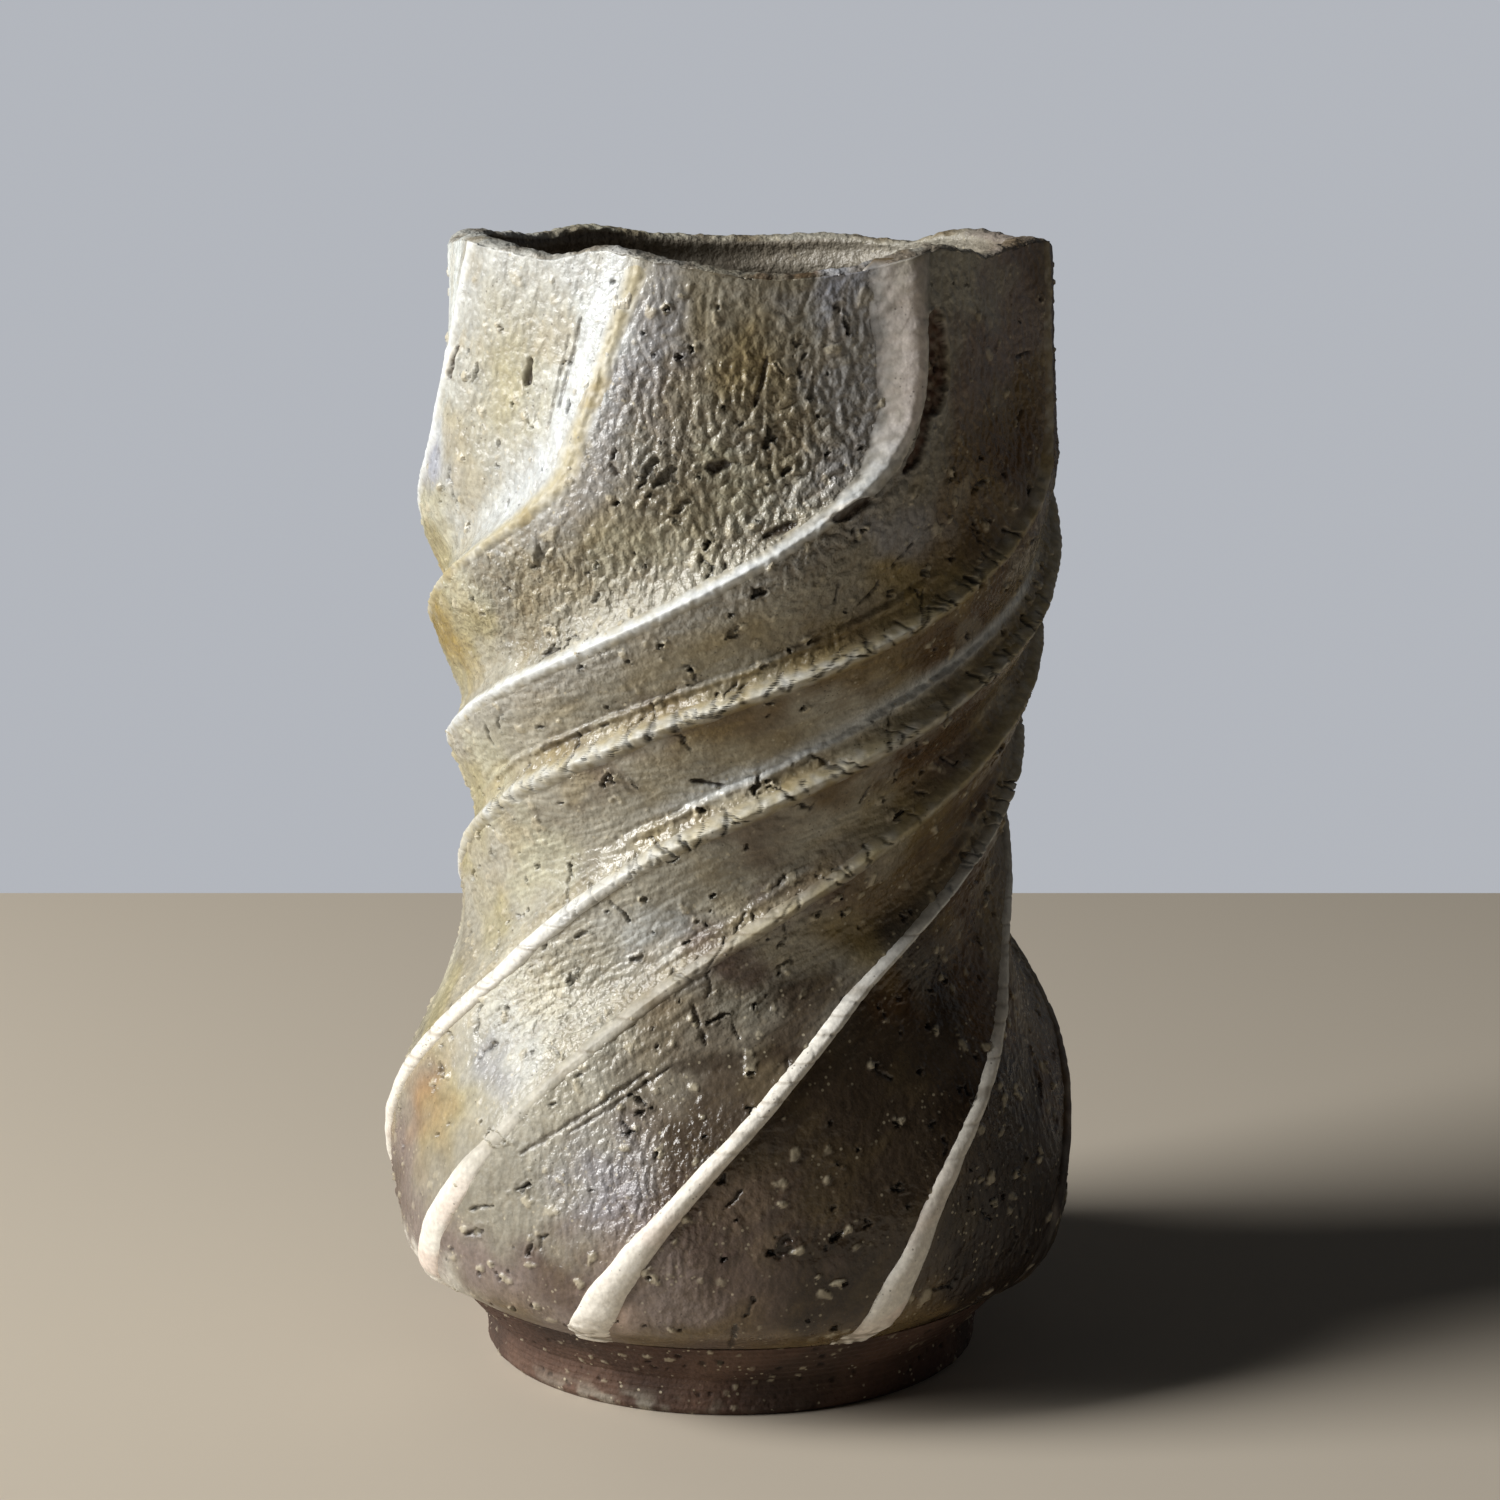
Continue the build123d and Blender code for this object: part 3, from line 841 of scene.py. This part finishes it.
def slip_colour(crest, skin, flow, creases, white, fold, rope):
    """Colour of a strip: white where the slip is thick, running out into the glaze beside it."""
    level = flow.height
    fresh = mix(plain("slip", skin), "cool_slip", 0.85 * fade(60, 105, level))
    pink = fade(0.1, 0.5, noise(skin, 9, 67)) * fade(60, 20, level)
    pink = np.maximum(pink, 0.8 * fade(163, 176, level) * (crest == DRAPED_CREST))
    fresh = mix(fresh, "pink_slip", 0.55 * pink)
    crusted = 0.75 if crest == LEFT_CREST else 0.75 - 0.5 * fade(140, 165, level)
    colour = mix(glaze(skin, flow), "crust", crusted * fade(70, 100, level) * fold)
    # Painted shade: umber darkening in the glaze's creases beside the strip.
    colour = mix(colour, "umber", 0.35 * creases * (1 - fold))
    fuzzy = 0.15 * noise(skin, 4, 68) + (1 - rope) * (0.3 * noise(skin, 1.7, 78) - 0.08)
    shown = white * (fold ** (0.9 - 0.4 * rope) + (1 - fold ** 0.5) * 0.9 * rope) + fuzzy
    colour = mix(colour, fresh, np.clip(1.25 * shown, 0, 1))
    stain = fade(0.3, 0.6, noise(skin, 6, 69)) * fade(80, 110, level) * (1 - white)
    colour = mix(colour, "ochre", 0.5 * stain)
    torn, lips = [np.clip(field, 0, 1) for field in tears(skin, flow)]
    # The tear's raised lips in slip colour: partly the slip itself, partly a painted highlight where they
    # catch the window.
    colour = mix(colour, "slip", 0.7 * lips)
    return paint_tears(colour, skin, torn)


def make_slip_bead(crest):
    """One strip of white slip: a rope low down, and a soft draped fold of glaze towards the rim."""
    along, height, rim, half, thick, white = strip_course(crest)
    middle = crest_angle(crest, height)
    axis = np.stack([along, 0 * along, 0 * along + 50.0 * crest], -1)
    wander = 0.12 * noise(axis, 9, 61) * half
    half = half * (1 + 0.07 * noise(axis, 8, 62) + 0.015 * noise(axis, 1.6, 63))
    thick = (thick * (1 + 0.2 * noise(axis, 5, 64)))[:, None]

    across = np.linspace(-1, 1, BEAD_COLUMNS)
    draped = fade(162, 174, height)[:, None] * (crest == DRAPED_CREST)
    distance = (across - 0.25 * draped) * half[:, None] + wander[:, None]
    stretch = np.degrees(np.hypot(1, crest_climb(height)) / curve(CREST_RADIUS, height))
    angle = middle[:, None] + distance * stretch[:, None]
    near_rim = fade(HEIGHT - 14, HEIGHT - 4, height)[:, None]
    level = height[:, None] + near_rim * (rim_height(angle) - rim[:, None])
    flow = Flow(angle, level)
    surface = wall_radius(flow)
    skin = place(surface, angle, level)
    relief, _, creases = wall_relief(skin, flow)

    rope = fade(106, 86, level)
    cracks = cross_cracks(crest, level, distance, noise(skin, 1.2, 21)) * (1 - 0.5 * rope)
    crown = 0.4 * draped
    leaning = (across - crown) / np.where(across > crown, 1 - crown, 1 + crown)
    fold = (1 - leaning ** 2) ** 2
    round_top = (1 - np.abs(across) ** 2.2) ** 0.6
    tuck = np.abs(across) ** 6
    rings = hump(noise(axis, 7, 75), 0, 0.07)[:, None] * rope * fade(38, 60, level)
    chips = fade(23, 16, level) * fade(-0.1, 0.2, noise(skin, 2.2, 77))
    raised = thick * (fold + (round_top - fold) * rope) - (0.14 + 0.6 * rope) * tuck
    raised = raised - 0.14 * rings - 0.6 * chips * thick
    calm = (1 - 0.8 * rope) * (1 - 0.5 * fold * white[:, None])
    top = surface + relief * calm + raised - 0.75 * cracks
    top = top + 0.03 * noise(skin, 1.3, 65) + 0.06 * noise(skin, 3.1, 66)
    skin = place(top, angle, level)
    under_angle = angle[:, ::-1][:, 2:-2:3]
    under_radius = surface[:, ::-1][:, 2:-2:3] - BEAD_BED
    under = place(under_radius, under_angle, height[:, None] + 0 * under_angle)
    points = np.concatenate([skin, under], 1)

    colour = slip_colour(crest, skin, flow, creases, white[:, None], fold, rope)
    # Cracks across the strip: dark clay colour with painted shade in them.
    colour = mix(colour, "pit", 0.85 * cracks)
    colour = mix(colour, "umber", 0.4 * rings + 0.7 * chips)
    # Painted shade: umber down the rope's right edge, the side turned away from the window.
    colour = mix(colour, "umber", 0.7 * rope * fade(0.88, 1.0, across))
    colour = mottle(colour, skin, 0.06, 1.1, 71)
    colour = np.concatenate([colour, plain("umber", under)], 1)
    return build_mesh(f"slip_bead_{crest + 1}", points, colour, 0.45, 0.2)


def make_foot():
    """Turned collar and undercut cone of bare clay, with turning lines, pits and pale grains."""
    rng = np.random.default_rng(31)
    inner = FLOOR_RADIUS
    cavity = float(curve(CAVITY_RADIUS, TRIM_HEIGHT))
    outline = [
        (inner, FLOOR_TOP), (inner, 0.0), (inner + 0.5, 0.0), (FOOT_RADIUS - FOOT_EDGE, 0.0),
        (FOOT_RADIUS, FOOT_EDGE), (FOOT_RADIUS + 0.1, FOOT_HEIGHT - 0.4),
        (FOOT_RADIUS + 0.6, FOOT_HEIGHT + 0.3), (TRIM_RADIUS, TRIM_HEIGHT), (cavity, TRIM_HEIGHT),
        (inner, FLOOR_TOP),
    ]
    counts = (18, 3, 14, 4, 16, 4, 26, 12, 8)
    sections = []
    for (r0, z0), (r1, z1), count in zip(outline, outline[1:], counts):
        share = np.arange(count) / count
        sections.append(np.stack([r0 + (r1 - r0) * share, z0 + (z1 - z0) * share], -1))
    profile = np.concatenate(sections)
    angle = np.arange(COLUMNS) * 360 / COLUMNS
    radius = profile[:, :1] + 0 * angle
    height = profile[:, 1:] + 0 * angle
    points = place(radius, angle, height)
    outside = fade(FOOT_RADIUS - 1.2, FOOT_RADIUS - 0.2, radius)
    clear = fade(TRIM_HEIGHT, TRIM_HEIGHT - 0.6, height) * fade(0.0, 0.8, height) * outside
    warp = noise(points, 1.3, 81)
    cell = 2 * math.pi * FOOT_RADIUS / COLUMNS
    spots = [
        (rng.uniform(36, 92), rng.uniform(0, COLUMNS), rng.uniform(0.3, 0.7) / cell,
         rng.uniform(0.25, 0.4) / cell, rng.normal(0, 0.3), rng.uniform(0.3, 1))
        for _ in range(FOOT_MARKS)
    ]
    grains = stamp(radius.shape, spots[:FOOT_MARKS // 2], warp)
    pits = stamp(radius.shape, spots[FOOT_MARKS // 2:], warp)
    turning = 0.12 * np.sin(height * 5.2 + 0.8 * noise(points, 30, 82)) + 0.06 * np.sin(height * 11)
    relief = turning + 0.16 * noise(points, 9, 83) + 0.10 * noise(points, 2.2, 84)
    relief = relief + 0.06 * noise(points, 1.1, 85)
    relief += 0.28 * grains - 0.5 * pits
    radius = radius + relief * clear
    points = place(radius, angle, height)
    colour = mix(plain("bare", points), "bare_light", fade(-0.2, 0.5, noise(points, 14, 86)) * 0.7)
    colour = mix(colour, "soot_and_shade", fade(0.0, 0.5, noise(points, 20, 87)) * 0.6)
    worn = hump(turned(angle, -25), 0, 26) * fade(0.05, 0.4, noise(points, 4, 88))
    worn = worn * fade(5, 1, height)
    colour = mix(colour, "stone", 0.5 * worn)
    colour = mix(colour, "grain", 0.6 * grains)
    # Pits in dark clay colour, with painted shade for the shadow inside them.
    colour = mix(colour, "pit", 0.8 * pits)
    colour = mottle(colour, points, 0.14, 1.6, 89)
    return build_mesh("foot_turned", points, colour, 0.12, 0.45, around=True)


def make_floor():
    """Floor of the pot: a thrown spiral inside and cut rings underneath."""
    angle = np.arange(FLOOR_COLUMNS) * 360 / FLOOR_COLUMNS
    top = np.linspace(0.4, FLOOR_RADIUS - 0.02, FLOOR_ROWS)
    radius = np.concatenate([top, top[::-1]])[:, None] + 0 * angle
    inside = np.arange(2 * FLOOR_ROWS)[:, None] < FLOOR_ROWS
    height = np.where(inside, FLOOR_TOP, FLOOR_GAP) + 0 * angle
    points = place(radius, angle, height)
    spiral = np.sin(2 * math.pi * (radius / 5.5 - angle / 360))
    rings = np.sin(2 * math.pi * radius / 3.1)
    edge = fade(FLOOR_RADIUS, FLOOR_RADIUS - 2, radius)
    height = height + edge * np.where(inside, 0.35 * spiral - 0.4, 0.12 * rings + 0.1)
    height = height + edge * 0.12 * noise(points, 3, 91)
    points = place(radius, angle, height)
    points[..., 0] -= LEAN * (height / HEIGHT) ** 1.5
    colour = mix(plain("bare", points), "bare_light", fade(-0.4, 0.4, noise(points, 9, 92)))
    colour = mottle(colour, points, 0.16, 1.7, 93)
    return build_mesh("floor_thrown", points, colour, 0.15, 0.5)


def pot_material(name, fleck, bump_depth, dull, glossy):
    """Fired surface: colour from the piece, fine grains and specks, and a small rough relief. fleck is
    how strong the pale specks are, bump_depth is in millimetres, dull and glossy are roughnesses."""
    material = bpy.data.materials.new(name)
    material.use_nodes = True
    nodes, links = material.node_tree.nodes, material.node_tree.links
    shader = nodes["Principled BSDF"]

    def node(kind, **settings):
        made = nodes.new(kind)
        for key, value in settings.items():
            setattr(made, key, value)
        return made

    def fill(socket, value):
        if isinstance(value, (int, float, tuple)):
            socket.default_value = value
        else:
            links.new(value, socket)

    def math_node(operation, first, second):
        made = node("ShaderNodeMath", operation=operation)
        for socket, value in zip(made.inputs, (first, second)):
            fill(socket, value)
        return made.outputs[0]

    def ramp(value, low, high):
        made = node("ShaderNodeMapRange", clamp=True)
        links.new(value, made.inputs["Value"])
        made.inputs["From Min"].default_value = low
        made.inputs["From Max"].default_value = high
        return made.outputs["Result"]

    coordinates = node("ShaderNodeTexCoord").outputs["Object"]

    def noise_node(size, detail):
        made = node("ShaderNodeTexNoise")
        made.inputs["Scale"].default_value = 1 / (size * MM)
        made.inputs["Detail"].default_value = detail
        links.new(coordinates, made.inputs["Vector"])
        return made.outputs["Fac"]

    def cells(size):
        made = node("ShaderNodeTexVoronoi", feature="F1")
        made.inputs["Scale"].default_value = 1 / (size * MM)
        links.new(coordinates, made.inputs["Vector"])
        return made.outputs["Distance"]

    def blend(kind, amount, first, second):
        made = node("ShaderNodeMix", data_type="RGBA", blend_type=kind)
        for name, value in (("Factor", amount), ("A", first), ("B", second)):
            fill(made.inputs[name], value)
        return made.outputs["Result"]

    glaze_colour = node("ShaderNodeAttribute", attribute_name="glaze").outputs["Color"]
    rough_amount = node("ShaderNodeAttribute", attribute_name="rough").outputs["Fac"]
    shine_amount = node("ShaderNodeAttribute", attribute_name="shine").outputs["Fac"]
    shade = ramp(noise_node(0.9, 3), 0.25, 0.75)
    value = math_node("ADD", math_node("MULTIPLY", shade, 0.34), 0.83)
    grey = node("ShaderNodeCombineColor")
    for socket in grey.inputs[:3]:
        links.new(value, socket)
    colour = blend("MULTIPLY", 1.0, glaze_colour, grey.outputs[0])
    specks = math_node("MULTIPLY", ramp(cells(1.5), 0.22, 0.12), ramp(noise_node(5, 1), 0.5, 0.6))
    colour = blend("MIX", math_node("MULTIPLY", specks, fleck), colour, (*linear("grain"), 1))
    dark_specks = math_node("MULTIPLY", ramp(cells(1.15), 0.2, 0.1), ramp(noise_node(7, 1), 0.55, 0.62))
    colour = blend("MIX", math_node("MULTIPLY", dark_specks, 0.6), colour, (*linear("soot_and_shade"), 1))
    links.new(colour, shader.inputs["Base Color"])

    patchy = math_node("ADD", math_node("MULTIPLY", ramp(noise_node(2.2, 2), 0.35, 0.6), 0.4), 0.6)
    gloss = math_node("MULTIPLY", shine_amount, patchy)
    roughness = math_node("SUBTRACT", dull, math_node("MULTIPLY", gloss, dull - glossy))
    links.new(roughness, shader.inputs["Roughness"])

    fine = noise_node(0.8, 3)
    coarse = math_node("MULTIPLY", ramp(noise_node(1.6, 2), 0.35, 0.65), 0.5)
    surface = math_node("ADD", fine, coarse)
    unevenness = math_node("ADD", math_node("MULTIPLY", rough_amount, 0.6), 0.16)
    surface = math_node("MULTIPLY", surface, unevenness)
    bump = node("ShaderNodeBump")
    bump.inputs["Distance"].default_value = bump_depth * MM
    links.new(surface, bump.inputs["Height"])
    links.new(bump.outputs["Normal"], shader.inputs["Normal"])
    return material


def finish_piece(piece, material, node):
    """Give a piece its material, hide the CAD node that it stands for, and hang it under the root body."""
    piece.data.materials.append(material)
    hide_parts(node)
    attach(piece, "root")


def make_stage():
    """Plain pale floor whose far edge shows behind the vase."""
    mesh = bpy.data.meshes.new("pale_floor")
    left, right, near, far = -1.5, 2.4, -2.0, 0.36
    corners = [(left, near, 0), (right, near, 0), (right, far, 0), (left, far, 0)]
    mesh.from_pydata(corners, [], [(0, 1, 2, 3)])
    material = bpy.data.materials.new("pale_floor")
    material.use_nodes = True
    shader = material.node_tree.nodes["Principled BSDF"]
    shader.inputs["Base Color"].default_value = (0.62, 0.55, 0.45, 1)
    shader.inputs["Roughness"].default_value = 0.75
    mesh.materials.append(material)
    add_object("pale_floor", mesh)


def make_light(name, place_at, aim, size, power, colour):
    """Soft rectangular light, aimed at a point. Places and sizes in metres, power in watts."""
    light = bpy.data.lights.new(name, "AREA")
    light.shape = "RECTANGLE"
    light.size, light.size_y = size
    light.energy = power
    light.color = colour
    lamp = add_object(name, light)
    lamp.location = place_at
    lamp.rotation_euler = (Vector(aim) - Vector(place_at)).to_track_quat("-Z", "Y").to_euler()


def make_lights():
    """A tall soft window on the left, a weak fill, and a pale room."""
    aim = (0, 0, HEIGHT * MM / 2)
    make_light("window", (-1.38, -0.40, 0.84), aim, size=(0.75, 0.95), power=40, colour=(1.0, 0.99, 0.97))
    make_light("fill", (1.0, 0.75, 0.5), aim, size=(1.6, 1.2), power=0.6, colour=(0.95, 0.97, 1.0))
    world = bpy.data.worlds.new("room")
    world.use_nodes = True
    nodes, links = world.node_tree.nodes, world.node_tree.links
    background = nodes["Background"]
    background.inputs["Color"].default_value = (0.45, 0.47, 0.51, 1)
    seen = nodes.new("ShaderNodeLightPath").outputs["Is Camera Ray"]
    strength = nodes.new("ShaderNodeMapRange")
    links.new(seen, strength.inputs["Value"])
    strength.inputs["To Min"].default_value = 0.032
    strength.inputs["To Max"].default_value = 1.0
    links.new(strength.outputs["Result"], background.inputs["Strength"])
    bpy.context.scene.world = world


def make_camera():
    """Camera a little above the rim, looking slightly down at the front."""
    camera = bpy.data.cameras.new("camera")
    camera.lens = CAMERA_LENS
    eye = add_object("camera", camera)
    eye.location = CAMERA_PLACE
    eye.rotation_euler = (math.radians(90 - CAMERA_DOWN), 0, 0)
    bpy.context.scene.camera = eye


def main():
    bpy.context.scene.view_settings.view_transform = "Standard"
    glazed = pot_material("ash_glaze", fleck=0.55, bump_depth=0.42, dull=0.5, glossy=0.12)
    slip = pot_material("white_slip", fleck=0.12, bump_depth=0.2, dull=0.6, glossy=0.3)
    bare = pot_material("bare_clay", fleck=0.7, bump_depth=0.35, dull=0.85, glossy=0.5)
    finish_piece(make_wall(), glazed, "fluted_wall")
    finish_piece(make_foot(), bare, "turned_foot")
    finish_piece(make_floor(), bare, "floor_disc")
    for crest in range(CRESTS):
        finish_piece(make_slip_bead(crest), slip, f"slip_ridge_{crest + 1}")
    make_stage()
    make_lights()
    make_camera()


main()
